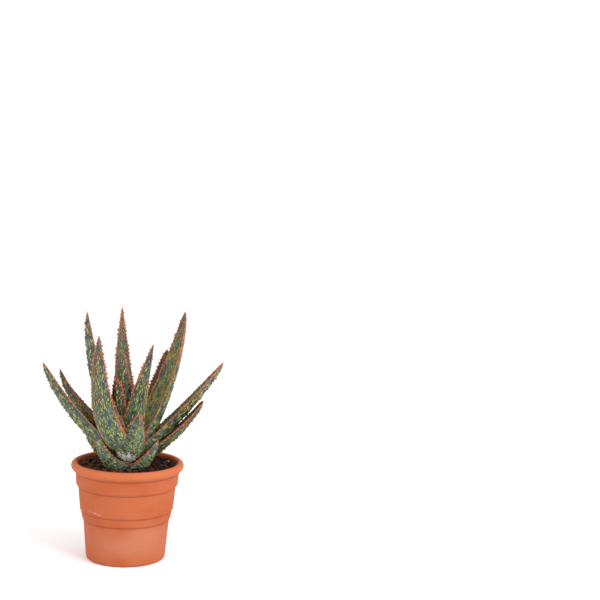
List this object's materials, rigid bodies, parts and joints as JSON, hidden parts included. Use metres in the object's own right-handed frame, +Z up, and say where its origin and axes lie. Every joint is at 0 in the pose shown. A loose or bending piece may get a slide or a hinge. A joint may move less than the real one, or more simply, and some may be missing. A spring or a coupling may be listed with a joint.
{
  "type": "potted zebra aloe",
  "caption": "Zebra aloe: a rosette of thick triangular leaves with toothed margins and warty backs, growing in soil in a round clay pot with stepped bands and a rolled rim.",
  "frame": {"origin": "Centre of the whole part's footprint box, on the ground plane that the pot stands on. The pot's own axis stands 5 mm to -X and 5.7 mm to +Y of it, because the rosette reaches further to +X.", "axes": "+Z is up, along the pot's axis. -Y is the side seen in the picture and +X is its right."},
  "size_m": [0.1908, 0.1797, 0.271],
  "materials": {
    "terracotta": "matte",
    "soil": "matte",
    "stem": "matte",
    "leaf": "satin"
  },
  "bodies": {
    "root": {"pot": "terracotta", "soil": "soil", "stem": "stem", "leaf_inner_young": "leaf", "leaf_centre_narrow": "leaf", "leaf_centre_tall": "leaf", "leaf_right_tall": "leaf", "leaf_centre_short": "leaf", "leaf_right_inner": "leaf", "leaf_left_inner": "leaf", "leaf_left_shaded": "leaf", "leaf_right_largest": "leaf", "leaf_left_tall": "leaf", "leaf_back_right": "leaf", "leaf_back_middle": "leaf", "leaf_front_low": "leaf", "leaf_right_long": "leaf", "leaf_left_long": "leaf", "leaf_back_left": "leaf", "leaf_back_left_low": "leaf", "leaf_back_right_low": "leaf", "leaf_right_blunt": "leaf", "leaf_front_left_low": "leaf", "leaf_front_right_low": "leaf", "leaf_left_blunt": "leaf", "leaf_back_low": "leaf", "leaf_back_small": "leaf"}
  },
  "joints": []
}
